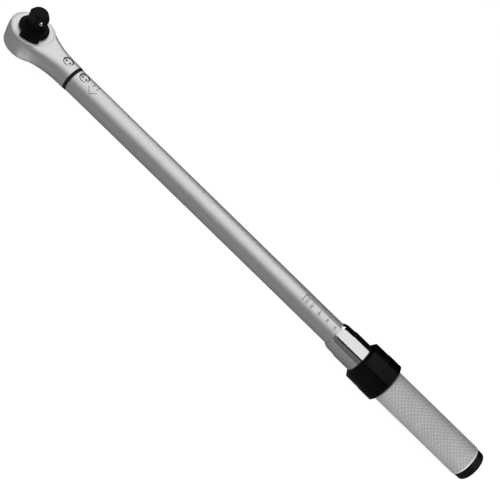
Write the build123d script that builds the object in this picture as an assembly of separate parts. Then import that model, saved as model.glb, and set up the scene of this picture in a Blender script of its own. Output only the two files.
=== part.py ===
from build123d import *
import math
import os

# Click-type micrometer torque wrench with a 1/2 in square drive, millimetres.
# +X runs along the tube from the drive to the handle and +Z out of the square drive.
# The origin is on the drive axis, at the shoulder that the square rises from.
# The pieces are drawn about the tube axis (z = 0) and moved down to the frame when they are saved.

SHOULDER_HEIGHT = 14.4        # the square's shoulder above the tube axis
RUNNING_GAP = 0.05            # radial play of a shaft in its bore
FIXED_GAP = 0.02              # radial play of a fixed pin or plug

# ratchet head
HEAD_RADIUS = 20.6             # at mid height; the side is barrelled
HEAD_FACE_RADIUS = 19.9
HEAD_BACK_RADIUS = 18.6
HEAD_BACK_ROUND = 2.6
HEAD_HALF_HEIGHT = 10.3
HEAD_EDGE = 0.8
NECK_RADIUS = 11.75
NECK_END = 50.4
COVER_RADIUS = 18.0
COVER_GAP = 0.12
COVER_THICKNESS = 2.0
COVER_SEAT = HEAD_HALF_HEIGHT - COVER_THICKNESS
SNAP_RING_LOW = 9.2
SNAP_RING_HIGH = 9.7
SNAP_RING_INSIDE = 17.4
SNAP_RING_OUTSIDE = 18.6
SNAP_RING_PLAY = 0.1
GEAR_ROOM_RADIUS = 15.2
GEAR_ROOM_FLOOR = -6.3
PAWL_ROOM_END = 21.3
PAWL_ROOM_HALF_WIDTH = 7.6
PAWL_ROOM_ROOF = 6.0
CROSS_PIN_RADIUS = 4.8
CROSS_PIN_SINK = 1.2          # how far a cross pin's ends lie below the round surface
CROSS_PIN_EDGE = 0.7
SPANNER_HOLE_RADIUS = 1.0
SPANNER_HOLE_OFFSET = 2.0
SPANNER_HOLE_DEPTH = 1.3
NECK_PIN_X = 40.7
PIVOT_X = 60.2

# square drive and its gear
SQUARE_SIZE = 12.7
SQUARE_TIP = 30.3
SQUARE_CORNER_RADIUS = 8.65
TIP_FLAT_RADIUS = 6.5
TIP_CHAMFER_HEIGHT = 2.8
SQUARE_TURN = -28.0           # degrees from +X to the face that holds the detent ball
HUB_RADIUS = 9.6
GEAR_TEETH = 36
GEAR_ROOT_RADIUS = 11.0
GEAR_TIP_RADIUS = 12.2
GEAR_HALF_HEIGHT = 5.9
JOURNAL_RADIUS = 7.5
JOURNAL_END = -9.2
BALL_RADIUS = 2.38
BALL_HEIGHT = 22.8
BALL_CENTRE = SQUARE_SIZE / 2 - 1.1
BALL_BORE_END = -4.6
BALL_STROKE = 1.2

# selector
SELECTOR_RADIUS = 13.1
SELECTOR_BOSS_RADIUS = 12.0
SELECTOR_BOTTOM = HEAD_HALF_HEIGHT + 0.25
SELECTOR_TOP = 13.2
SELECTOR_BOSS_TOP = 14.1
SELECTOR_TAB_TURN = -65.0
SELECTOR_TAB_WIDTH = 16.8
SELECTOR_TAB_REACH = 17.9

# pawl
PAWL_PIVOT_X = 17.0
PAWL_PIN_RADIUS = 1.5
PAWL_TILT = 7.5               # degrees each side of its middle position
PAWL_NOSE_TURN = 20.0
PAWL_HALF_HEIGHT = 5.5
PAWL_PLUNGER_RADIUS = 1.9

# tube
TUBE_START = 53.2
TUBE_END = 470.0
TUBE_RADIUS = 11.35
TUBE_BORE = 9.75
SEAL_START = 50.7
SEAL_RADIUS = 11.7

# click lever, tilt block, plunger and spring
LEVER_START = 30.5
LEVER_SPIGOT_RADIUS = 8.0
LEVER_SHANK_RADIUS = 9.0
LEVER_SHANK_END = 76.0
LEVER_END = 150.0
LEVER_WIDTH = 12.0
LEVER_HEIGHT = 10.0
BLOCK_SIZE = 8.0
BLOCK_GAP = 0.1
PLUNGER_RADIUS = 9.65
PLUNGER_START = LEVER_END + BLOCK_SIZE + 2 * BLOCK_GAP
PLUNGER_LENGTH = 26.0
SPRING_WIRE = 3.2
SPRING_RADIUS = 7.6
SPRING_START = PLUNGER_START + PLUNGER_LENGTH
SPRING_END = 378.0
SPRING_TURNS = 26

# load screw and its nut
SEAT_LENGTH = 8.0
THRUST_BALL_RADIUS = 3.0
SCREW_RADIUS = 5.0
SCREW_START = SPRING_END + SEAT_LENGTH + 1.5
NUT_START = 442.0
NUT_END = 468.0
NUT_PIN_X = 449.0
NUT_PIN_RADIUS = 1.5

# handle
THIMBLE_START = 367.6
THIMBLE_NOSE_RADIUS = 12.0
THIMBLE_SHOULDER_X = 374.6
THIMBLE_SHOULDER_RADIUS = 13.65
THIMBLE_BODY_START_RADIUS = 13.85
THIMBLE_BODY_X = 381.0
THIMBLE_BODY_RADIUS = 14.4
THIMBLE_BORE = 11.45
GRIP_START = 431.0
GRIP_END = 528.0
GRIP_RADIUS = 15.6
GRIP_BORE = 13.2
HANDLE_WALL_START = 516.0
HANDLE_WALL_END = 521.0
HANDLE_NUT_HALF_FLATS = 8.0
HANDLE_NUT_END = 527.0
SCREW_END = 529.0
CAP_END = 537.6
CAP_RADIUS = 15.1

# lock ring
LOCK_START = 398.9
LOCK_FRONT_EDGE = 401.2
LOCK_REAR_EDGE = 429.4
LOCK_END = 431.6
LOCK_RADIUS = 19.5
LOCK_REAR_RADIUS = 19.9
LOCK_FRONT_RADIUS = 15.1
LOCK_FRONT_LIP = 19.4
LOCK_BORE = THIMBLE_BODY_RADIUS + 0.3
LOCK_REAR_BORE = GRIP_RADIUS + 0.3
LOCK_STEP_X = 412.0
LOCK_GROOVE_START = 417.6
LOCK_GROOVE_PITCH = 2.6
LOCK_GROOVES = 5
LOCK_GROOVE_DEPTH = 0.9
LOCK_BALL_X = 405.0
LOCK_BALL_RADIUS = 1.4
LOCK_BALL_RISE = 0.1          # how far a lock ball stands out of the thimble
LOCK_BALLS = 4

MIDDLE = (Align.CENTER, Align.CENTER, Align.CENTER)


def turned(*points):
    """A solid turned about the tube axis from (x, radius) points."""
    return revolve(make_face(Polyline(*points, close=True)), Axis.X)


def turned_upright(*points):
    """A solid turned about the drive axis from (radius, height) points."""
    return revolve(Plane.XZ * make_face(Polyline(*points, close=True)), Axis.Z)


def disc(radius, low, high, x=0.0, y=0.0):
    """A round bar along Z from height low to height high."""
    return Pos(x, y, (low + high) / 2) * Cylinder(radius, high - low)


def bar(radius, start, end):
    """A round bar along the tube axis."""
    return Pos((start + end) / 2, 0, 0) * Rot(0, 90, 0) * Cylinder(radius, end - start)


def block(low, high):
    """A box from its lowest to its highest corner."""
    size = [b - a for a, b in zip(low, high)]
    centre = [(a + b) / 2 for a, b in zip(low, high)]
    return Pos(*centre) * Box(*size, align=MIDDLE)


def about(x, y, degrees, shape):
    """A shape turned about an upright line through (x, y)."""
    return Pos(x, y, 0) * Rot(0, 0, degrees) * Pos(-x, -y, 0) * shape


def dome_arc(edge_x, edge_radius, apex_x):
    """An arc from (edge_x, edge_radius) to the tube axis at apex_x, square to the axis there."""
    rise = apex_x - edge_x
    radius = (edge_radius**2 + rise**2) / (2 * rise)
    half_turn = math.asin(edge_radius / radius) / 2
    middle = (apex_x - radius + radius * math.cos(half_turn), radius * math.sin(half_turn))
    return ThreePointArc((edge_x, edge_radius), middle, (apex_x, 0))


def coil(radius, wire, length, turns):
    """A round-wire compression spring along Z, from 0 to length, with its wire inside both ends."""
    rise = length - 2 * wire
    path = Pos(0, 0, wire) * Helix(pitch=rise / turns, height=rise, radius=radius)
    start = path @ 0
    section = Plane(origin=start, z_dir=path % 0) * Circle(wire / 2)
    return sweep(section, path=path, is_frenet=True)


def along_x(start, shape):
    """A shape drawn along +Z from 0, laid along the tube axis from start."""
    return Pos(start, 0, 0) * Rot(0, 90, 0) * shape


# ---- ratchet head ----

def neck_section(x, width, height, corner):
    plane = Plane(origin=(x, 0, 0), x_dir=(0, 1, 0), z_dir=(1, 0, 0))
    return plane * RectangleRounded(width, height, corner)


def barrel():
    """The round part of the head: a barrelled side between the flat face and the rounded back."""
    face = HEAD_HALF_HEIGHT
    back_side = (HEAD_RADIUS - 0.4, HEAD_BACK_ROUND - face)
    side = ThreePointArc(back_side, (HEAD_RADIUS, -0.5), (HEAD_FACE_RADIUS, face - HEAD_EDGE))
    back = ThreePointArc(
        (HEAD_BACK_RADIUS, -face),
        ((HEAD_BACK_RADIUS + HEAD_RADIUS) / 2 + 0.4, 0.3 * HEAD_BACK_ROUND - face),
        back_side,
    )
    rest = Polyline(
        (HEAD_FACE_RADIUS, face - HEAD_EDGE), (HEAD_FACE_RADIUS - HEAD_EDGE, face), (0, face),
        (0, -face), (HEAD_BACK_RADIUS, -face),
    )
    return revolve(Plane.XZ * make_face(back + side + rest), Axis.Z)


def ratchet_head():
    flat = 2 * HEAD_HALF_HEIGHT
    neck_width = 2 * NECK_RADIUS
    neck = loft([
        neck_section(3.0, 39.0, flat - 0.2, 2.0),
        neck_section(14.0, 34.2, flat + 0.1, 6.5),
        neck_section(24.0, 28.4, flat + 0.9, 8.8),
        neck_section(34.0, 24.6, flat + 2.3, 10.4),
        neck_section(NECK_END, neck_width, neck_width, NECK_RADIUS - 0.4),
    ])
    head = barrel() + neck
    head -= disc(GEAR_ROOM_RADIUS, GEAR_ROOM_FLOOR, HEAD_HALF_HEIGHT)
    head -= disc(COVER_RADIUS + COVER_GAP, COVER_SEAT, HEAD_HALF_HEIGHT + 3)
    head -= disc(JOURNAL_RADIUS + RUNNING_GAP, JOURNAL_END - 0.2, 0)
    head -= block(
        (5, -PAWL_ROOM_HALF_WIDTH, GEAR_ROOM_FLOOR),
        (PAWL_ROOM_END, PAWL_ROOM_HALF_WIDTH, PAWL_ROOM_ROOF),
    )
    head -= disc(PAWL_PIN_RADIUS + FIXED_GAP, -8.3, PAWL_ROOM_ROOF + 1.6, PAWL_PIVOT_X)
    head -= bar(PAWL_PLUNGER_RADIUS + RUNNING_GAP, 18, LEVER_START - 1.5)
    head -= bar(LEVER_SPIGOT_RADIUS + FIXED_GAP, LEVER_START - 0.3, NECK_END + 1)
    head -= disc(CROSS_PIN_RADIUS + FIXED_GAP, -20, 20, NECK_PIN_X)
    return head - ring_groove(SNAP_RING_INSIDE - 0.4, SNAP_RING_OUTSIDE + SNAP_RING_PLAY)


def ring_groove(inside, outside):
    """The room that the snap ring's groove takes between two radii."""
    low = SNAP_RING_LOW - SNAP_RING_PLAY
    high = SNAP_RING_HIGH + SNAP_RING_PLAY
    return disc(outside, low, high) - disc(inside, low, high)


def cover_plate():
    plate = disc(COVER_RADIUS, COVER_SEAT, HEAD_HALF_HEIGHT)
    plate = chamfer(plate.edges().group_by(Axis.Z)[-1], 0.25)
    plate -= ring_groove(SNAP_RING_INSIDE - SNAP_RING_PLAY, COVER_RADIUS + 1)
    return plate - disc(HUB_RADIUS + RUNNING_GAP, 0, 20)


def cover_snap_ring():
    ring = disc(SNAP_RING_OUTSIDE, SNAP_RING_LOW, SNAP_RING_HIGH)
    ring -= disc(SNAP_RING_INSIDE, SNAP_RING_LOW, SNAP_RING_HIGH)
    return ring - block((-21, -1.5, 8), (-15, 1.5, 11))


def square_drive():
    half_pitch = 180.0 / GEAR_TEETH
    points = []
    for tooth in range(GEAR_TEETH):
        gap = math.radians(2 * half_pitch * tooth)
        crest = gap + math.radians(half_pitch)
        points.append((GEAR_ROOT_RADIUS * math.cos(gap), GEAR_ROOT_RADIUS * math.sin(gap)))
        points.append((GEAR_TIP_RADIUS * math.cos(crest), GEAR_TIP_RADIUS * math.sin(crest)))
    wheel = Pos(0, 0, -GEAR_HALF_HEIGHT) * extrude(
        make_face(Polyline(*points, close=True)), 2 * GEAR_HALF_HEIGHT
    )
    spindle = turned_upright(
        (0, JOURNAL_END), (JOURNAL_RADIUS - 0.4, JOURNAL_END), (JOURNAL_RADIUS, JOURNAL_END + 0.4),
        (JOURNAL_RADIUS, -GEAR_HALF_HEIGHT), (HUB_RADIUS, -GEAR_HALF_HEIGHT),
        (HUB_RADIUS, SHOULDER_HEIGHT - 0.5), (HUB_RADIUS - 0.5, SHOULDER_HEIGHT),
        (0, SHOULDER_HEIGHT),
    )
    square = Pos(0, 0, SHOULDER_HEIGHT - 2) * Box(
        SQUARE_SIZE, SQUARE_SIZE, SQUARE_TIP - SHOULDER_HEIGHT + 2,
        align=(Align.CENTER, Align.CENTER, Align.MIN),
    )
    turned_tip = turned_upright(
        (0, 0), (SQUARE_CORNER_RADIUS, 0), (SQUARE_CORNER_RADIUS, SQUARE_TIP - TIP_CHAMFER_HEIGHT),
        (TIP_FLAT_RADIUS, SQUARE_TIP), (0, SQUARE_TIP),
    )
    square = Rot(0, 0, SQUARE_TURN) * (square & turned_tip)
    bore_length = SQUARE_SIZE / 2 - BALL_BORE_END + 1
    ball_bore = ball_place(BALL_BORE_END) * Cylinder(
        BALL_RADIUS + RUNNING_GAP, bore_length, align=(Align.CENTER, Align.CENTER, Align.MIN)
    )
    return wheel + spindle + square - ball_bore


def ball_place(reach):
    """A place on the detent ball's line, with its local Z pointing out of the square's face."""
    return Pos(0, 0, BALL_HEIGHT) * Rot(0, 0, SQUARE_TURN) * Pos(reach, 0, 0) * Rot(0, 90, 0)


def detent_ball():
    return ball_place(BALL_CENTRE) * Sphere(BALL_RADIUS)


def detent_spring():
    room = BALL_CENTRE - BALL_RADIUS - BALL_STROKE - BALL_BORE_END - 0.1
    return ball_place(BALL_BORE_END + 0.05) * coil(1.7, 0.45, room, 4)


def selector_lever():
    plate = disc(SELECTOR_RADIUS, SELECTOR_BOTTOM, SELECTOR_TOP)
    plate = fillet(plate.edges().group_by(Axis.Z)[-1], 0.6)
    boss = disc(SELECTOR_BOSS_RADIUS, SELECTOR_TOP - 1, SELECTOR_BOSS_TOP)
    boss = fillet(boss.edges().group_by(Axis.Z)[-1], 0.4)
    half_tab = SELECTOR_TAB_WIDTH / 2
    tab = block((8, -half_tab, SELECTOR_BOTTOM), (20, half_tab, SELECTOR_TOP - 0.2))
    tab &= disc(SELECTOR_TAB_REACH, SELECTOR_BOTTOM, SELECTOR_TOP)
    tab = fillet(tab.edges().group_by(Axis.Z)[-1], 0.5)
    ribs = 9
    for rib in range(ribs):
        turn = (rib - (ribs - 1) / 2) * 6.2
        tab -= Rot(0, 0, turn) * disc(0.55, 5, 20, SELECTOR_TAB_REACH + 0.15)
    lever = plate + boss + Rot(0, 0, SELECTOR_TAB_TURN) * tab
    return lever - disc(HUB_RADIUS + RUNNING_GAP + 0.05, 0, 20)


def pawl():
    reach = 15.5
    tip = GEAR_ROOT_RADIUS + 0.2
    half_width = 0.82
    nose_outline = [(tip, 0), (GEAR_TIP_RADIUS, half_width), (reach, half_width),
                    (reach, -half_width), (GEAR_TIP_RADIUS, -half_width)]
    nose = extrude(make_face(Polyline(*nose_outline, close=True)), 2 * PAWL_HALF_HEIGHT)
    nose = Pos(0, 0, -PAWL_HALF_HEIGHT) * nose
    engaged = Rot(0, 0, PAWL_NOSE_TURN) * nose
    lifted = about(PAWL_PIVOT_X, 0, 2 * PAWL_TILT, Rot(0, 0, -PAWL_NOSE_TURN) * nose)
    body = block((14.0, -5.4, -PAWL_HALF_HEIGHT), (19.8, 5.4, PAWL_HALF_HEIGHT))
    body = about(PAWL_PIVOT_X, 0, PAWL_TILT, body)
    bore = disc(PAWL_PIN_RADIUS + RUNNING_GAP, -8, 8, PAWL_PIVOT_X)
    return body + engaged + lifted - bore


def pawl_pin():
    return disc(PAWL_PIN_RADIUS, -8.2, PAWL_ROOM_ROOF + 1.5, PAWL_PIVOT_X)


def pawl_plunger():
    tip_x = 20.3
    radius = PAWL_PLUNGER_RADIUS
    stem = bar(radius, tip_x + radius, 24.6)
    return stem + Pos(tip_x + radius, 0, 0) * Sphere(radius)


def pawl_spring():
    return along_x(24.65, coil(1.4, 0.4, 4.2, 4))


def cross_pin(x, surface_radius):
    """A pin across the tube axis with two spanner holes in each end."""
    reach = surface_radius - CROSS_PIN_SINK
    depth = SPANNER_HOLE_DEPTH
    pin = chamfer(disc(CROSS_PIN_RADIUS, -reach, reach, x).edges(), CROSS_PIN_EDGE)
    for side in (-1, 1):
        for offset in (-SPANNER_HOLE_OFFSET, SPANNER_HOLE_OFFSET):
            end = side * reach
            pin -= disc(SPANNER_HOLE_RADIUS, end - depth, end + depth, x + offset)
    return pin


# ---- tube and click mechanism ----

def tube_seal():
    return turned(
        (SEAL_START, LEVER_SHANK_RADIUS + 0.3), (SEAL_START, SEAL_RADIUS - 0.5),
        (SEAL_START + 0.5, SEAL_RADIUS), (TUBE_START - 0.5, SEAL_RADIUS),
        (TUBE_START, SEAL_RADIUS - 0.5), (TUBE_START, LEVER_SHANK_RADIUS + 0.3),
    )


def tube():
    edge = 0.4
    body = turned(
        (TUBE_START, TUBE_BORE), (TUBE_START, TUBE_RADIUS - edge), (TUBE_START + edge, TUBE_RADIUS),
        (TUBE_END - edge, TUBE_RADIUS), (TUBE_END, TUBE_RADIUS - edge), (TUBE_END, TUBE_BORE),
    )
    body -= disc(CROSS_PIN_RADIUS + FIXED_GAP, -20, 20, PIVOT_X)
    return body - disc(NUT_PIN_RADIUS + FIXED_GAP, -20, 20, NUT_PIN_X)


def click_lever():
    lever = bar(LEVER_SPIGOT_RADIUS, LEVER_START, NECK_END + 1)
    lever += bar(LEVER_SHANK_RADIUS, NECK_END + 0.1, LEVER_SHANK_END)
    half_width = LEVER_WIDTH / 2
    half_height = LEVER_HEIGHT / 2
    lever += block(
        (LEVER_SHANK_END - 4, -half_width, -half_height), (LEVER_END, half_width, half_height)
    )
    lever -= disc(CROSS_PIN_RADIUS + RUNNING_GAP, -20, 20, PIVOT_X)
    return lever - disc(CROSS_PIN_RADIUS + FIXED_GAP, -20, 20, NECK_PIN_X)


def tilt_block():
    start = LEVER_END + BLOCK_GAP
    half = BLOCK_SIZE / 2
    return chamfer(
        block((start, -half, -half), (start + BLOCK_SIZE, half, half)).edges(), 0.3
    )


def plunger():
    edge = 0.6
    body = turned(
        (PLUNGER_START - 1.5, 0), (PLUNGER_START - 1.5, PLUNGER_RADIUS - edge),
        (PLUNGER_START - 1.5 + edge, PLUNGER_RADIUS), (SPRING_START, PLUNGER_RADIUS),
        (SPRING_START, 5.6), (SPRING_START + 5, 5.2), (SPRING_START + 5, 0),
    )
    lips = BLOCK_SIZE / 2 + 0.2
    return body - block((PLUNGER_START - 4, -12, -lips), (PLUNGER_START, 12, lips))


def main_spring():
    start = SPRING_START + 0.1
    return along_x(start, coil(SPRING_RADIUS, SPRING_WIRE, SPRING_END - 0.1 - start, SPRING_TURNS))


def spring_seat():
    seat = turned(
        (SPRING_END - 4, 0), (SPRING_END - 4, 5.2), (SPRING_END, 5.6),
        (SPRING_END, PLUNGER_RADIUS), (SPRING_END + SEAT_LENGTH, PLUNGER_RADIUS),
        (SPRING_END + SEAT_LENGTH, 0),
    )
    cup = Pos(SPRING_END + SEAT_LENGTH, 0, 0) * Sphere(THRUST_BALL_RADIUS + RUNNING_GAP)
    return seat - cup


def thrust_ball():
    return Pos(SPRING_END + SEAT_LENGTH, 0, 0) * Sphere(THRUST_BALL_RADIUS)


# ---- handle ----

def load_nut():
    nut = bar(TUBE_BORE - FIXED_GAP, NUT_START, NUT_END) - bar(SCREW_RADIUS + RUNNING_GAP, 400, 500)
    return nut - disc(NUT_PIN_RADIUS + FIXED_GAP, -20, 20, NUT_PIN_X)


def nut_pins():
    high = disc(NUT_PIN_RADIUS, 6.0, TUBE_RADIUS - 0.25, NUT_PIN_X)
    low = disc(NUT_PIN_RADIUS, 0.25 - TUBE_RADIUS, -6.0, NUT_PIN_X)
    return Compound([high, low])


def load_screw():
    edge = 1.0
    ball_x = SPRING_END + SEAT_LENGTH
    cup = THRUST_BALL_RADIUS + RUNNING_GAP
    cup_mouth = math.sqrt(cup**2 - (SCREW_START - ball_x) ** 2)
    middle = (SCREW_START + ball_x + cup) / 2
    cup_arc = ThreePointArc(
        (ball_x + cup, 0), (middle, math.sqrt(cup**2 - (middle - ball_x) ** 2)),
        (SCREW_START, cup_mouth),
    )
    rest = Polyline(
        (SCREW_START, cup_mouth), (SCREW_START, SCREW_RADIUS - edge),
        (SCREW_START + edge, SCREW_RADIUS), (SCREW_END - edge, SCREW_RADIUS),
        (SCREW_END, SCREW_RADIUS - edge), (SCREW_END, 0), (ball_x + cup, 0),
    )
    return revolve(make_face(cup_arc + rest), Axis.X)


def handle_thimble():
    middle_x = (THIMBLE_START + THIMBLE_SHOULDER_X) / 2 - 0.9
    middle_radius = (THIMBLE_NOSE_RADIUS + THIMBLE_SHOULDER_RADIUS) / 2 + 0.35
    nose = ThreePointArc(
        (THIMBLE_START, THIMBLE_NOSE_RADIUS), (middle_x, middle_radius),
        (THIMBLE_SHOULDER_X, THIMBLE_SHOULDER_RADIUS),
    )
    rest = Polyline(
        (THIMBLE_SHOULDER_X, THIMBLE_SHOULDER_RADIUS),
        (THIMBLE_BODY_X - 2, THIMBLE_BODY_START_RADIUS),
        (THIMBLE_BODY_X, THIMBLE_BODY_RADIUS), (GRIP_START, THIMBLE_BODY_RADIUS),
        (GRIP_START, GRIP_BORE - FIXED_GAP), (HANDLE_WALL_END, GRIP_BORE - FIXED_GAP),
        (HANDLE_WALL_END, SCREW_RADIUS + FIXED_GAP), (HANDLE_WALL_START, SCREW_RADIUS + FIXED_GAP),
        (HANDLE_WALL_START, THIMBLE_BORE), (THIMBLE_START, THIMBLE_BORE),
        (THIMBLE_START, THIMBLE_NOSE_RADIUS),
    )
    sleeve = revolve(make_face(nose + rest), Axis.X)
    for hole in range(LOCK_BALLS):
        turn = 360 / LOCK_BALLS * hole
        sleeve -= Rot(turn, 0, 0) * disc(LOCK_BALL_RADIUS + RUNNING_GAP, 5, 20, LOCK_BALL_X)
    return sleeve


def lock_balls():
    radius = THIMBLE_BODY_RADIUS + LOCK_BALL_RISE - LOCK_BALL_RADIUS
    balls = [
        Rot(360 / LOCK_BALLS * number, 0, 0) * Pos(LOCK_BALL_X, 0, radius) * Sphere(LOCK_BALL_RADIUS)
        for number in range(LOCK_BALLS)
    ]
    return Compound(balls)


def lock_ring():
    ring = turned(
        (LOCK_START + 1.2, LOCK_BORE), (LOCK_START, LOCK_FRONT_RADIUS),
        (LOCK_START, LOCK_FRONT_RADIUS + 0.9), (LOCK_FRONT_EDGE, LOCK_FRONT_LIP),
        (LOCK_GROOVE_START - 2.5, LOCK_RADIUS), (LOCK_GROOVE_START - 1.5, LOCK_REAR_RADIUS),
        (LOCK_REAR_EDGE, LOCK_REAR_RADIUS), (LOCK_END, LOCK_REAR_BORE + 0.5),
        (LOCK_END, LOCK_REAR_BORE), (LOCK_STEP_X, LOCK_REAR_BORE), (LOCK_STEP_X, LOCK_BORE),
    )
    floor = LOCK_REAR_RADIUS - LOCK_GROOVE_DEPTH
    top = LOCK_REAR_RADIUS + 1
    for groove in range(LOCK_GROOVES):
        x = LOCK_GROOVE_START + groove * LOCK_GROOVE_PITCH
        ring -= turned((x - 0.7, top), (x - 0.45, floor), (x + 0.45, floor), (x + 0.7, top))
    return ring


def lock_spring():
    length = GRIP_START - LOCK_STEP_X - 0.3
    return along_x(LOCK_STEP_X + 0.15, coil(15.05, 0.6, length, 5))


def grip_sleeve():
    edge = 0.5
    return turned(
        (GRIP_START + 0.05, GRIP_BORE), (GRIP_START + 0.05, GRIP_RADIUS - edge),
        (GRIP_START + edge, GRIP_RADIUS), (GRIP_END - edge, GRIP_RADIUS),
        (GRIP_END, GRIP_RADIUS - edge), (GRIP_END, GRIP_BORE),
    )


def handle_nut():
    across_corners = 2 * HANDLE_NUT_HALF_FLATS / math.sqrt(3)
    hexagon = extrude(RegularPolygon(across_corners, 6), HANDLE_NUT_END - HANDLE_WALL_END - 1.6)
    nut = along_x(HANDLE_WALL_END + 1.6, hexagon)
    return nut - bar(SCREW_RADIUS + FIXED_GAP, 500, 540)


def handle_washer():
    washer = bar(9.5, HANDLE_WALL_END + 0.05, HANDLE_WALL_END + 1.55)
    return washer - bar(SCREW_RADIUS + FIXED_GAP, 500, 540)


def end_cap():
    plug_start = HANDLE_WALL_END + 0.6
    plug_radius = GRIP_BORE - FIXED_GAP
    rim_x = CAP_END - 3.6
    rim_radius = CAP_RADIUS - 0.2
    face_x = CAP_END - 1.3
    face_radius = rim_radius - 2.3
    inner_radius = plug_radius - 1.8
    side = Polyline(
        (plug_start, plug_radius), (GRIP_END + 0.05, plug_radius), (GRIP_END + 0.05, CAP_RADIUS - 0.3),
        (GRIP_END + 0.35, CAP_RADIUS), (rim_x, rim_radius),
    )
    edge = ThreePointArc((rim_x, rim_radius), (rim_x + 1.5, rim_radius - 0.7), (face_x, face_radius))
    face = dome_arc(face_x, face_radius, CAP_END)
    inside = Polyline(
        (CAP_END, 0), (CAP_END - 3, 0), (CAP_END - 3, inner_radius),
        (plug_start, inner_radius), (plug_start, plug_radius),
    )
    return revolve(make_face(side + edge + face + inside), Axis.X)


PIECES = {
    "ratchet_head": ratchet_head,
    "cover_plate": cover_plate,
    "cover_snap_ring": cover_snap_ring,
    "square_drive": square_drive,
    "detent_ball": detent_ball,
    "detent_spring": detent_spring,
    "selector_lever": selector_lever,
    "pawl": pawl,
    "pawl_pin": pawl_pin,
    "pawl_plunger": pawl_plunger,
    "pawl_spring": pawl_spring,
    "tube_seal": tube_seal,
    "tube": tube,
    "click_lever": click_lever,
    "tilt_block": tilt_block,
    "plunger": plunger,
    "main_spring": main_spring,
    "spring_seat": spring_seat,
    "thrust_ball": thrust_ball,
    "load_nut": load_nut,
    "nut_pins": nut_pins,
    "load_screw": load_screw,
    "handle_thimble": handle_thimble,
    "lock_balls": lock_balls,
    "lock_ring": lock_ring,
    "lock_spring": lock_spring,
    "grip_sleeve": grip_sleeve,
    "handle_washer": handle_washer,
    "handle_nut": handle_nut,
    "end_cap": end_cap,
}


def save(name, shape):
    """Write one piece, lowered so that the origin is at the square drive's shoulder."""
    export_step(Pos(0, 0, -SHOULDER_HEIGHT) * shape, f"parts/{name}.step")


os.makedirs("parts", exist_ok=True)
for name, make in PIECES.items():
    save(name, make())
save("neck_pin", cross_pin(NECK_PIN_X, 12.0))
save("pivot_pin", cross_pin(PIVOT_X, TUBE_RADIUS))
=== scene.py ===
import math

import bmesh
import bpy
from mathutils import Matrix, Vector


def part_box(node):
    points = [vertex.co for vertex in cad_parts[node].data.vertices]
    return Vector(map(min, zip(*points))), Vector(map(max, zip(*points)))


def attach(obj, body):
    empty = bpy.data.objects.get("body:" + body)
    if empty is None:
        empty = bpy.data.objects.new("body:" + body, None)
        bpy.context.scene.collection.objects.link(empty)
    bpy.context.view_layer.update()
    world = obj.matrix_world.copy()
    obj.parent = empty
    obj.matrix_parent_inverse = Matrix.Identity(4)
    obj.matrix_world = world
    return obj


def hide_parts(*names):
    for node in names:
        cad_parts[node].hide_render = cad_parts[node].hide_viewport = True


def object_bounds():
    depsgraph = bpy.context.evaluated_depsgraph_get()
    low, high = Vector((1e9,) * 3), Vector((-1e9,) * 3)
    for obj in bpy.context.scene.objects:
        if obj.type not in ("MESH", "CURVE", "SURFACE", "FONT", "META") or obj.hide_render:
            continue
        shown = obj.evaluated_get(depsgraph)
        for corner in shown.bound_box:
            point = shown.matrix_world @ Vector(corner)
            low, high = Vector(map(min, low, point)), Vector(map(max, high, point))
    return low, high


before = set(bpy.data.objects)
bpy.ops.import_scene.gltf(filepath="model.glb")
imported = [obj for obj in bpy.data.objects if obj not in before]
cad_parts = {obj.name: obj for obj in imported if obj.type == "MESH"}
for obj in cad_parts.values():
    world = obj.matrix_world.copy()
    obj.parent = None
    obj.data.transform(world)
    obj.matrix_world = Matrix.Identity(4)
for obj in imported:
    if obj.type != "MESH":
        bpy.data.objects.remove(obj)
cad_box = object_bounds()

MM = 0.001


# ---- places read from the frame ----

def node_span(name):
    """A node's lowest and highest corners at rest."""
    low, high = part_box(name)
    return Vector(low), Vector(high)


tube_low, tube_high = node_span("tube")
TUBE_RADIUS = (tube_high.y - tube_low.y) / 2
AXIS_Z = (tube_low.z + tube_high.z) / 2
THIMBLE_EDGE = node_span("handle_thimble")[0].x


# ---- camera ----

CAMERA_ELEVATION = math.radians(45.1)
CAMERA_YAW = math.radians(1.23)          # the handle's end lies a little further away
CAMERA_ROLL = math.radians(44.25)         # the wrench runs from upper left to lower right
CAMERA_DISTANCE = 0.7234
CAMERA_LENS = 59.9
CAMERA_TARGET = Vector((0.2642, 0, AXIS_Z))
CAMERA_RISE = 0.8 * MM                   # how far the view's centre lies above the tube's axis


def make_camera():
    tilt = math.pi / 2 - CAMERA_ELEVATION
    along = Vector((
        math.cos(CAMERA_YAW),
        -math.sin(tilt) * math.sin(CAMERA_YAW),
        math.cos(tilt) * math.sin(CAMERA_YAW),
    ))
    across = Vector((0, math.cos(tilt), math.sin(tilt)))
    toward = along.cross(across)
    right = along * math.cos(CAMERA_ROLL) + across * math.sin(CAMERA_ROLL)
    up = across * math.cos(CAMERA_ROLL) - along * math.sin(CAMERA_ROLL)
    data = bpy.data.cameras.new("camera")
    data.lens = CAMERA_LENS
    data.sensor_width = 36.0
    data.clip_start = 0.01
    camera = bpy.data.objects.new("camera", data)
    place = CAMERA_TARGET + across * CAMERA_RISE + toward * CAMERA_DISTANCE
    camera.matrix_world = Matrix.Translation(place) @ Matrix((right, up, toward)).transposed().to_4x4()
    bpy.context.scene.collection.objects.link(camera)
    bpy.context.scene.camera = camera


# ---- stage and light ----

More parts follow.
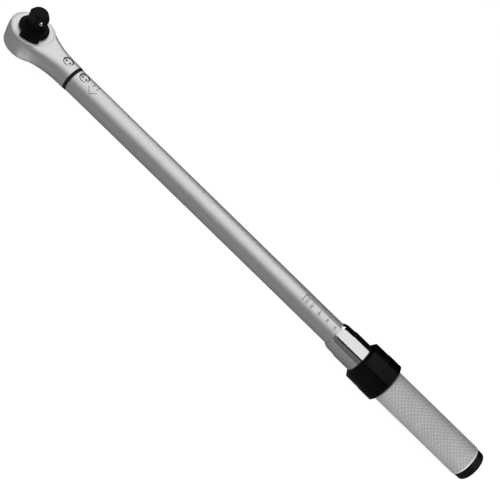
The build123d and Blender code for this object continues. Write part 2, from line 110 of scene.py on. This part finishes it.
FRONT_BAND = (0.57, 0.72)                # heights of the dark band in front, as sines of elevation
BACK_BAND_TOP = 0.80
# painted highlight: place, size and glow of a glowing oval on the floor, seen only in reflections
SPOT_PLACE = (13 * MM, -31 * MM)
SPOT_SIZE = (7 * MM, 15 * MM)
SPOT_GLOW = 1.1
DARK_FLOOR_START = 30 * MM               # metal sees the floor as nearly black behind this
FLOOR_GAP = 0.4 * MM                     # the floor's distance below the wrench
OVERHEAD_RADIANCE = 0.72
HEAD_OVERHEAD_RADIANCE = 1.15
FRONT_FILL_RADIANCE = 2.9

def link_object(name, mesh):
    made = bpy.data.objects.new(name, mesh)
    bpy.context.scene.collection.objects.link(made)
    return made


def flat_sheet(name, low, high, z):
    mesh = bpy.data.meshes.new(name)
    corners = [(low[0], low[1], z), (high[0], low[1], z), (high[0], high[1], z), (low[0], high[1], z)]
    mesh.from_pydata(corners, [], [(0, 1, 2, 3)])
    return link_object(name, mesh)


def math_with_number(nodes, links, value, operation, number):
    """A math operation between a shader value and a plain number."""
    made = nodes.new("ShaderNodeMath")
    made.operation = operation
    made.inputs[1].default_value = number
    links.new(value, made.inputs[0])
    return made.outputs[0]


def math_with_value(nodes, links, first, operation, second):
    """A math operation between two shader values."""
    made = nodes.new("ShaderNodeMath")
    made.operation = operation
    links.new(first, made.inputs[0])
    links.new(second, made.inputs[1])
    return made.outputs[0]


def split_point(nodes, links, point):
    """A point's x, y and z as three shader values."""
    made = nodes.new("ShaderNodeSeparateXYZ")
    links.new(point, made.inputs[0])
    return made.outputs


def painted_highlight_spot(nodes, links, point):
    """Painted highlight: a soft glowing oval in the floor's colour for reflected rays only, just in
    front of the head, which its side reflects.
    """
    mapping = nodes.new("ShaderNodeMapping")
    scale_x = 1 / SPOT_SIZE[0]
    scale_y = 1 / SPOT_SIZE[1]
    mapping.inputs["Location"].default_value = (-SPOT_PLACE[0] * scale_x, -SPOT_PLACE[1] * scale_y, 0)
    mapping.inputs["Scale"].default_value = (scale_x, scale_y, 0)
    links.new(point, mapping.inputs["Vector"])
    spot = nodes.new("ShaderNodeTexGradient")
    spot.gradient_type = "SPHERICAL"
    links.new(mapping.outputs["Vector"], spot.inputs["Vector"])
    return math_with_number(nodes, links, spot.outputs["Fac"], "MULTIPLY", SPOT_GLOW)


def floor_material():
    """A pale floor that the camera sees nearly shadowless and that polished metal sees as grey."""
    material = bpy.data.materials.new("floor")
    material.use_nodes = True
    nodes = material.node_tree.nodes
    links = material.node_tree.links
    nodes.clear()
    out = nodes.new("ShaderNodeOutputMaterial")
    seen = nodes.new("ShaderNodeAddShader")
    pale = nodes.new("ShaderNodeBsdfDiffuse")
    pale.inputs["Color"].default_value = (0.2, 0.2, 0.2, 1)
    glow = nodes.new("ShaderNodeEmission")
    glow.inputs["Color"].default_value = (1, 1, 1, 1)
    glow.inputs["Strength"].default_value = 0.9
    links.new(pale.outputs[0], seen.inputs[0])
    links.new(glow.outputs[0], seen.inputs[1])
    point = nodes.new("ShaderNodeNewGeometry").outputs["Position"]
    _, y, _ = split_point(nodes, links, point)
    behind = math_with_number(nodes, links, y, "GREATER_THAN", DARK_FLOOR_START)
    shade = tint(nodes, links, behind, (0.23, 0.23, 0.23), (0.01, 0.01, 0.01))
    grey = nodes.new("ShaderNodeBsdfDiffuse")
    links.new(shade, grey.inputs["Color"])
    # painted highlight: the floor glows in this oval for reflected rays only
    spot = nodes.new("ShaderNodeEmission")
    links.new(painted_highlight_spot(nodes, links, point), spot.inputs["Strength"])
    reflected = nodes.new("ShaderNodeAddShader")
    links.new(grey.outputs[0], reflected.inputs[0])
    links.new(spot.outputs[0], reflected.inputs[1])
    path = nodes.new("ShaderNodeLightPath")
    mix = nodes.new("ShaderNodeMixShader")
    links.new(path.outputs["Is Camera Ray"], mix.inputs[0])
    links.new(reflected.outputs[0], mix.inputs[1])
    links.new(seen.outputs[0], mix.inputs[2])
    links.new(mix.outputs[0], out.inputs["Surface"])
    return material


def dark_bands(nodes, links):
    """1 toward the studio's two dark parts: a band in front, and all that is low at the back."""
    direction = nodes.new("ShaderNodeTexCoord").outputs["Generated"]
    _, y, z = split_point(nodes, links, direction)
    front = math_with_number(nodes, links, y, "LESS_THAN", 0)
    above = math_with_number(nodes, links, z, "GREATER_THAN", FRONT_BAND[0])
    below = math_with_number(nodes, links, z, "LESS_THAN", FRONT_BAND[1])
    band = math_with_value(nodes, links, above, "MULTIPLY", below)
    front = math_with_value(nodes, links, front, "MULTIPLY", band)
    back = math_with_number(nodes, links, y, "GREATER_THAN", 0)
    low = math_with_number(nodes, links, z, "LESS_THAN", BACK_BAND_TOP)
    back = math_with_value(nodes, links, back, "MULTIPLY", low)
    return math_with_value(nodes, links, front, "MAXIMUM", back)


def make_world():
    """White where the camera looks past the floor; a dim grey studio with dark bands for all else."""
    world = bpy.data.worlds.new("studio")
    world.use_nodes = True
    nodes = world.node_tree.nodes
    links = world.node_tree.links
    nodes.clear()
    out = nodes.new("ShaderNodeOutputWorld")
    white = nodes.new("ShaderNodeBackground")
    white.inputs["Color"].default_value = (1, 1, 1, 1)
    white.inputs["Strength"].default_value = 1.0
    grey = nodes.new("ShaderNodeBackground")
    shade = tint(nodes, links, dark_bands(nodes, links), (0.12, 0.12, 0.12), (0.003, 0.003, 0.003))
    links.new(shade, grey.inputs["Color"])
    path = nodes.new("ShaderNodeLightPath")
    mix = nodes.new("ShaderNodeMixShader")
    links.new(path.outputs["Is Camera Ray"], mix.inputs[0])
    links.new(grey.outputs[0], mix.inputs[1])
    links.new(white.outputs[0], mix.inputs[2])
    links.new(mix.outputs[0], out.inputs["Surface"])
    bpy.context.scene.world = world


def softbox(name, centre, size, aim, radiance):
    """A rectangular studio light that faces aim; its power is set from its area."""
    data = bpy.data.lights.new(name, "AREA")
    data.shape = "RECTANGLE"
    data.size = size[0]
    data.size_y = size[1]
    data.energy = radiance * math.pi * size[0] * size[1]
    light = bpy.data.objects.new(name, data)
    light.visible_camera = False
    direction = (Vector(aim) - Vector(centre)).normalized()
    light.location = centre
    light.rotation_euler = direction.to_track_quat("-Z", "Y").to_euler()
    bpy.context.scene.collection.objects.link(light)
    return light


def make_studio():
    make_world()
    floor_z = cad_box[0][2] - FLOOR_GAP
    floor = flat_sheet("floor", (-4, -4), (5, 4), floor_z)
    floor.data.materials.append(floor_material())
    softbox("overhead", (0.28, -0.05, 0.85), (3.4, 1.55), (0.28, -0.05, 0), OVERHEAD_RADIANCE)
    # the head end also sees a second box behind the first, and the thimble doesn't
    softbox("head_overhead", (-0.80, 1.42, 0.85), (1.5, 1.38), (-0.80, 1.42, 0), HEAD_OVERHEAD_RADIANCE)
    # this one only lifts matt surfaces, such as the grip
    fill = softbox("front_fill", (0.30, -0.90, 0.35), (2.0, 0.8), (0.30, 0, 0), FRONT_FILL_RADIANCE)
    fill.visible_glossy = False
    bpy.context.scene.view_settings.view_transform = "Standard"


# ---- materials ----

def principled(name, colour, metallic, roughness):
    """A new material with its shader, its nodes and its links."""
    material = bpy.data.materials.new(name)
    material.use_nodes = True
    nodes = material.node_tree.nodes
    shader = nodes["Principled BSDF"]
    shader.inputs["Base Color"].default_value = (*colour, 1)
    shader.inputs["Metallic"].default_value = metallic
    shader.inputs["Roughness"].default_value = roughness
    return material, shader, nodes, material.node_tree.links


def object_point(nodes, links, stretch=(1, 1, 1)):
    """Object coordinates, stretched so that a noise runs long in one direction."""
    place = nodes.new("ShaderNodeTexCoord")
    mapping = nodes.new("ShaderNodeMapping")
    mapping.inputs["Scale"].default_value = stretch
    links.new(place.outputs["Object"], mapping.inputs["Vector"])
    return mapping.outputs["Vector"]


def noise(nodes, links, vector, scale, detail):
    made = nodes.new("ShaderNodeTexNoise")
    made.inputs["Scale"].default_value = scale
    made.inputs["Detail"].default_value = detail
    links.new(vector, made.inputs["Vector"])
    return made.outputs["Fac"]


def spread(nodes, links, value, low, high):
    """A noise value spread between low and high."""
    made = nodes.new("ShaderNodeMapRange")
    made.inputs["From Min"].default_value = 0.3
    made.inputs["From Max"].default_value = 0.7
    made.inputs["To Min"].default_value = low
    made.inputs["To Max"].default_value = high
    links.new(value, made.inputs["Value"])
    return made.outputs["Result"]


def tint(nodes, links, value, dark, light):
    """A colour that goes from dark at 0 to light at 1."""
    made = nodes.new("ShaderNodeMix")
    made.data_type = "RGBA"
    made.inputs[6].default_value = (*dark, 1)
    made.inputs[7].default_value = (*light, 1)
    links.new(value, made.inputs[0])
    return made.outputs[2]


def bump(nodes, links, shader, height, distance):
    """Raise a shader's surface by a height value times a distance."""
    made = nodes.new("ShaderNodeBump")
    made.inputs["Distance"].default_value = distance
    made.inputs["Strength"].default_value = 1.0
    links.new(height, made.inputs["Height"])
    links.new(made.outputs["Normal"], shader.inputs["Normal"])


def metal(name, dark, light, rough_low, rough_high, grain, grain_depth, metallic=1.0):
    """Metal with slow patches of haze and a fine grain (its scale along X, Y and Z, per metre)."""
    material, shader, nodes, links = principled(name, light, metallic, rough_low)
    streaks = noise(nodes, links, object_point(nodes, links, grain), 1.0, 4.0)
    haze = noise(nodes, links, object_point(nodes, links), 60.0, 4.0)
    links.new(tint(nodes, links, haze, dark, light), shader.inputs["Base Color"])
    links.new(spread(nodes, links, streaks, rough_low, rough_high), shader.inputs["Roughness"])
    bump(nodes, links, shader, streaks, grain_depth)
    return material


def black_finish(name, colour, rough_low, rough_high, gloss, grit_scale, grit_depth):
    """A dark non-metal skin with a fine grit."""
    material, shader, nodes, links = principled(name, colour, 0.0, rough_low)
    shader.inputs["Specular IOR Level"].default_value = gloss
    grit = noise(nodes, links, object_point(nodes, links), grit_scale, 4.0)
    worn = noise(nodes, links, object_point(nodes, links), 140.0, 5.0)
    lighter = tuple(channel * 1.6 + 0.001 for channel in colour)
    links.new(tint(nodes, links, worn, colour, lighter), shader.inputs["Base Color"])
    links.new(spread(nodes, links, worn, rough_low, rough_high), shader.inputs["Roughness"])
    bump(nodes, links, shader, grit, grit_depth)
    return material


def make_materials():
    return {
        "satin_chrome": metal("satin_chrome", (0.86, 0.87, 0.87), (0.92, 0.93, 0.93), 0.49, 0.56,
                              (60, 900, 900), 0.002 * MM),
        "forged_chrome": metal("forged_chrome", (0.87, 0.88, 0.89), (0.93, 0.94, 0.95), 0.46, 0.54,
                               (700, 700, 700), 0.003 * MM),
        "polished_chrome": metal("polished_chrome", (0.86, 0.87, 0.87), (0.90, 0.91, 0.91), 0.05, 0.08,
                                 (40, 500, 500), 0.0005 * MM),
        "knurled_steel": metal("knurled_steel", (0.70, 0.70, 0.70), (0.82, 0.82, 0.82), 0.50, 0.62,
                               (900, 900, 900), 0.004 * MM, 0.25),
        # a darker copy of knurled_steel for the knurl's flanks: painted shade in the grooves
        "knurl_valley_painted_shade": metal("knurl_valley_painted_shade", (0.24, 0.24, 0.24), (0.34, 0.34, 0.34), 0.55, 0.65,
                              (900, 900, 900), 0.004 * MM, 0.25),
        "tool_steel": metal("tool_steel", (0.42, 0.42, 0.43), (0.52, 0.52, 0.53), 0.28, 0.40,
                            (800, 800, 800), 0.002 * MM),
        "spring_steel": metal("spring_steel", (0.30, 0.31, 0.33), (0.42, 0.43, 0.45), 0.25, 0.35,
                              (900, 900, 900), 0.002 * MM),
        "bright_steel": metal("bright_steel", (0.80, 0.80, 0.81), (0.90, 0.90, 0.91), 0.06, 0.10,
                              (900, 900, 900), 0.0005 * MM),
        "bronze": metal("bronze", (0.50, 0.33, 0.16), (0.62, 0.43, 0.22), 0.28, 0.38,
                        (800, 800, 800), 0.002 * MM),
        "black_oxide": black_finish("black_oxide", (0.002, 0.002, 0.0023),
                                    0.30, 0.42, 0.05, 2500.0, 0.004 * MM),
        "black_ring": black_finish("black_ring", (0.0012, 0.0012, 0.0014),
                                   0.14, 0.20, 0.12, 2200.0, 0.002 * MM),
        "black_cap": black_finish("black_cap", (0.0025, 0.0025, 0.0027),
                                  0.30, 0.40, 0.16, 1800.0, 0.004 * MM),
        "seal_rubber": black_finish("seal_rubber", (0.005, 0.005, 0.005),
                                    0.6, 0.75, 0.2, 1500.0, 0.01 * MM),
        "engraving": black_finish("engraving", (0.03, 0.03, 0.03),
                                  0.5, 0.6, 0.1, 1500.0, 0.004 * MM),
    }


NODE_FINISH = {
    "ratchet_head": "forged_chrome",
    "cover_plate": "forged_chrome",
    "neck_pin": "forged_chrome",
    "pivot_pin": "satin_chrome",
    "tube": "satin_chrome",
    "handle_thimble": "polished_chrome",
    "square_drive": "black_oxide",
    "selector_lever": "black_oxide",
    "lock_ring": "black_ring",
    "end_cap": "black_cap",
    "detent_ball": "bright_steel",
    "lock_balls": "bright_steel",
    "thrust_ball": "bright_steel",
    "tube_seal": "seal_rubber",
    "load_nut": "bronze",
    "cover_snap_ring": "spring_steel",
    "detent_spring": "spring_steel",
    "pawl_spring": "spring_steel",
    "main_spring": "spring_steel",
    "lock_spring": "spring_steel",
    "grip_sleeve": "knurled_steel",
}


def dress_nodes(finishes):
    """Give every CAD node its finish; the hidden steel pieces share one."""
    for name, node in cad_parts.items():
        finish = finishes[NODE_FINISH.get(name, "tool_steel")]
        if not node.material_slots:
            node.data.materials.append(finish)
        for slot in node.material_slots:
            slot.material = finish


# ---- knurled grip ----

KNURL_PITCH = 1.75 * MM
KNURL_DEPTH = 0.50 * MM
KNURL_FLAT = 0.60             # share of a diamond's width that its flat top keeps


GRIP_RIM = 0.6 * MM           # plain length at each end of the knurl
GRIP_RIM_CHAMFER = 0.1 * MM
GRIP_RIM_DROP = 0.4 * MM
GRIP_BORE_INSET = 1.4 * MM    # the grip's bore inside the end cap's radius


def on_grip(x, turn, radius):
    """A point at a radius and a turn about the tube axis."""
    return Vector((x, radius * math.cos(turn), AXIS_Z + radius * math.sin(turn)))


def ring_at(mesh, x, turns, radius):
    """One ring of vertices around the tube axis."""
    return [mesh.verts.new(on_grip(x, turn, radius)) for turn in turns]


def join_rings(mesh, first, second):
    """A band of faces between two rings with the same number of vertices."""
    count = len(first)
    for k in range(count):
        after = (k + 1) % count
        mesh.faces.new((first[k], first[after], second[after], second[k]))


def knurled_grip(crest_material, shaded_valley_material):
    """A sleeve covered in flat-topped diamonds, with a chamfered rim at each end."""
    low, high = node_span("grip_sleeve")
    cap_low, cap_high = node_span("end_cap")
    crest = (high.y - low.y) / 2
    bore = (cap_high.y - cap_low.y) / 2 - GRIP_BORE_INSET
    root = crest - KNURL_DEPTH
    knurl_start = low.x + GRIP_RIM
    knurl_length = high.x - low.x - 2 * GRIP_RIM
    rows = round(knurl_length / KNURL_PITCH) * 2
    columns = round(2 * math.pi * crest / KNURL_PITCH) * 2
    step_x = knurl_length / rows
    step_turn = 2 * math.pi / columns
    mesh = bmesh.new()
    corners = {}

    def valley(row, column):
        """The shared vertex at the bottom of the grooves at (row, column)."""
        key = (row, column % columns)
        if key not in corners:
            place = on_grip(knurl_start + row * step_x, key[1] * step_turn, root)
            corners[key] = mesh.verts.new(place)
        return corners[key]

    def diamond(row, column):
        """The diamond centred on (row, column), with its four corners one step away."""
        base = [
            valley(row - 1, column), valley(row, column + 1),
            valley(row + 1, column), valley(row, column - 1),
        ]
        x = knurl_start + row * step_x
        turn = column * step_turn
        top = [
            mesh.verts.new(on_grip(x - KNURL_FLAT * step_x, turn, crest)),
            mesh.verts.new(on_grip(x, turn + KNURL_FLAT * step_turn, crest)),
            mesh.verts.new(on_grip(x + KNURL_FLAT * step_x, turn, crest)),
            mesh.verts.new(on_grip(x, turn - KNURL_FLAT * step_turn, crest)),
        ]
        mesh.faces.new(top)
        for side in range(4):
            after = (side + 1) % 4
            flank = mesh.faces.new((base[side], base[after], top[after], top[side]))
            # the flanks take the darker copy: painted shade in the knurl's grooves
            flank.material_index = 1

    for row in range(1, rows):
        for column in range(columns):
            if (row + column) % 2 == 1:
                diamond(row, column)
    # half diamonds close the first and last rows
    even_columns = range(0, columns, 2)
    for row, inner in ((0, 1), (rows, rows - 1)):
        for column in even_columns:
            mesh.faces.new((valley(row, column), valley(inner, column + 1), valley(row, column + 2)))
    turns = [column * step_turn for column in even_columns]
    rims = []
    for row, x_end, inward in ((0, low.x, 1), (rows, high.x, -1)):
        rings = [
            [valley(row, column) for column in even_columns],
            ring_at(mesh, x_end + inward * GRIP_RIM_CHAMFER, turns, root),
            ring_at(mesh, x_end, turns, root - GRIP_RIM_DROP),
            ring_at(mesh, x_end, turns, bore),
        ]
        for first, second in zip(rings, rings[1:]):
            join_rings(mesh, first, second)
        rims.append(rings[-1])
    join_rings(mesh, rims[0], rims[1])
    bmesh.ops.recalc_face_normals(mesh, faces=mesh.faces)
    data = bpy.data.meshes.new("knurled_grip")
    mesh.to_mesh(data)
    mesh.free()
    data.materials.append(crest_material)
    data.materials.append(shaded_valley_material)
    grip = link_object("knurled_grip", data)
    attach(grip, "handle")
    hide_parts("grip_sleeve")


# ---- engraved scale on the tube ----

ENGRAVING_RISE = 0.02 * MM
WRAP_STEP = 0.5 * MM          # longest piece of a strip that runs around the tube


def wrap_on_tube(x, along_turn, rise):
    """A point on the tube: x along it, along_turn metres around it from the top line toward -Y."""
    turn = along_turn / TUBE_RADIUS
    radius = TUBE_RADIUS + rise
    return Vector((x, -radius * math.sin(turn), AXIS_Z + radius * math.cos(turn)))


def engraved_strips(name, strips, material):
    """Flat strips wrapped on the tube, each given as two (x, around) ends and a width."""
    mesh = bmesh.new()
    for start, end, width in strips:
        begin = Vector(start)
        finish = Vector(end)
        run = finish - begin
        side = Vector((-run.y, run.x)).normalized() * width / 2
        pieces = max(1, math.ceil(abs(run.y) / WRAP_STEP))
        rows = []
        for k in range(pieces + 1):
            middle = begin + run * (k / pieces)
            row = []
            for sign in (-1, 1):
                point = middle + side * sign
                row.append(mesh.verts.new(wrap_on_tube(point.x, point.y, ENGRAVING_RISE)))
            rows.append(row)
        for first, second in zip(rows, rows[1:]):
            mesh.faces.new((first[0], first[1], second[1], second[0]))
    bmesh.ops.recalc_face_normals(mesh, faces=mesh.faces)
    data = bpy.data.meshes.new(name)
    mesh.to_mesh(data)
    mesh.free()
    data.materials.append(material)
    made = link_object(name, data)
    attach(made, "tube")
    return made


def engraved_number(name, words, x, around, size, material):
    """A number wrapped on the tube, to be read with the handle upward."""
    curve = bpy.data.curves.new(name, "FONT")
    curve.body = words
    curve.size = size
    curve.align_x = "CENTER"
    curve.align_y = "CENTER"
    carrier = bpy.data.objects.new(name + "_outline", curve)
    bpy.context.scene.collection.objects.link(carrier)
    bpy.context.view_layer.update()
    data = bpy.data.meshes.new_from_object(carrier)
    bpy.data.objects.remove(carrier)
    for vertex in data.vertices:
        vertex.co = wrap_on_tube(x + vertex.co.y, around + vertex.co.x, ENGRAVING_RISE)
    data.name = name
    data.materials.append(material)
    made = link_object(name, data)
    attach(made, "tube")
    return made


SCALE_LENGTH = 41.8 * MM
SCALE_NUMBERS = (("40", 4.8), ("90", 13.9), ("140", 23.1), ("190", 32.2), ("220", 37.8))
SCALE_STRONG = 0.60 * MM
SCALE_FINE = 0.32 * MM
SCALE_BASE = 0.87 * MM        # the strong long line, measured around the tube from its top
SCALE_TOP = -0.73 * MM        # the fine long line
SCALE_TICK = 2.2 * MM
NUMBER_AROUND = 4.9 * MM
NUMBER_HEIGHT = 3.6 * MM


def make_scale(material):
    """Two long lines, a cross line, ticks, and numbers counted back from the thimble (mm)."""
    start = THIMBLE_EDGE - SCALE_LENGTH
    end = THIMBLE_EDGE + 1.5 * MM
    strips = [
        ((start, SCALE_BASE), (end, SCALE_BASE), SCALE_STRONG),
        ((start, SCALE_TOP), (end, SCALE_TOP), SCALE_FINE),
        ((start, SCALE_TOP), (start, 8.0 * MM), SCALE_STRONG),
    ]
    ticks = 14
    for tick in range(1, ticks):
        x = start + SCALE_LENGTH * tick / ticks
        strips.append(((x, SCALE_TOP), (x, SCALE_TOP - SCALE_TICK), SCALE_FINE))
    for _, back in SCALE_NUMBERS:
        x = THIMBLE_EDGE - back * MM
        strips.append(((x, SCALE_BASE), (x, SCALE_BASE + 1.2 * MM), SCALE_FINE))
    engraved_strips("scale_lines", strips, material)
    for words, back in SCALE_NUMBERS:
        name = f"scale_number_{words}"
        x = THIMBLE_EDGE - back * MM
        engraved_number(name, words, x, NUMBER_AROUND, NUMBER_HEIGHT, material)


def make_arrow(material):
    """An outlined arrow on the tube, which points the way that the handle is pulled."""
    x = 72.8 * MM
    shaft = 2.2 * MM
    head = 5.0 * MM
    back = -6.5 * MM
    neck = 2.2 * MM
    wings = 3.2 * MM
    tip = 8.4 * MM
    line = 0.45 * MM
    outline = [
        ((x - shaft, back), (x - shaft, neck)),
        ((x - head, wings), (x, tip)),
        ((x, tip), (x + head, wings)),
        ((x + shaft, neck), (x + shaft, back)),
    ]
    engraved_strips("pull_arrow", [(a, b, line) for a, b in outline], material)


SPANNER_HOLE_OFFSET = 2.0 * MM
SPANNER_HOLE_RADIUS = 1.0 * MM
PIN_SHADOW_WIDTH = 1.0 * MM
PIN_SHADOW_RISE = 0.05 * MM   # how far the shadow lies outside the pin's end
PIN_SIDES = 64


def pin_shadows(name, body, material):
    """Painted shade: dark rings around each end of a cross pin, and dark discs over its two spanner
    holes.
    """
    low, high = node_span(name)
    centre = (low + high) / 2
    outer = (high.x - low.x) / 2
    inner = outer - PIN_SHADOW_WIDTH
    turns = [2 * math.pi * k / PIN_SIDES for k in range(PIN_SIDES)]
    mesh = bmesh.new()
    for z in (low.z - PIN_SHADOW_RISE, high.z + PIN_SHADOW_RISE):
        rings = []
        for radius in (inner, outer):
            places = [(radius * math.cos(turn), radius * math.sin(turn)) for turn in turns]
            rings.append([mesh.verts.new((centre.x + x, centre.y + y, z)) for x, y in places])
        join_rings(mesh, rings[1], rings[0])
        for side in (-1, 1):
            hole = Matrix.Translation((centre.x + side * SPANNER_HOLE_OFFSET, centre.y, z))
            bmesh.ops.create_circle(
                mesh, cap_ends=True, segments=24, radius=SPANNER_HOLE_RADIUS, matrix=hole
            )
    data = bpy.data.meshes.new(name + "_shadows")
    mesh.to_mesh(data)
    mesh.free()
    data.materials.append(material)
    made = link_object(name + "_shadows", data)
    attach(made, body)


make_camera()
make_studio()
materials = make_materials()
dress_nodes(materials)
knurled_grip(materials["knurled_steel"], materials["knurl_valley_painted_shade"])
make_scale(materials["engraving"])
make_arrow(materials["engraving"])
# painted shade at the cross pins' ends and spanner holes, in the seal's black rubber material
pin_shadows("neck_pin", "head", materials["seal_rubber"])
pin_shadows("pivot_pin", "tube", materials["seal_rubber"])
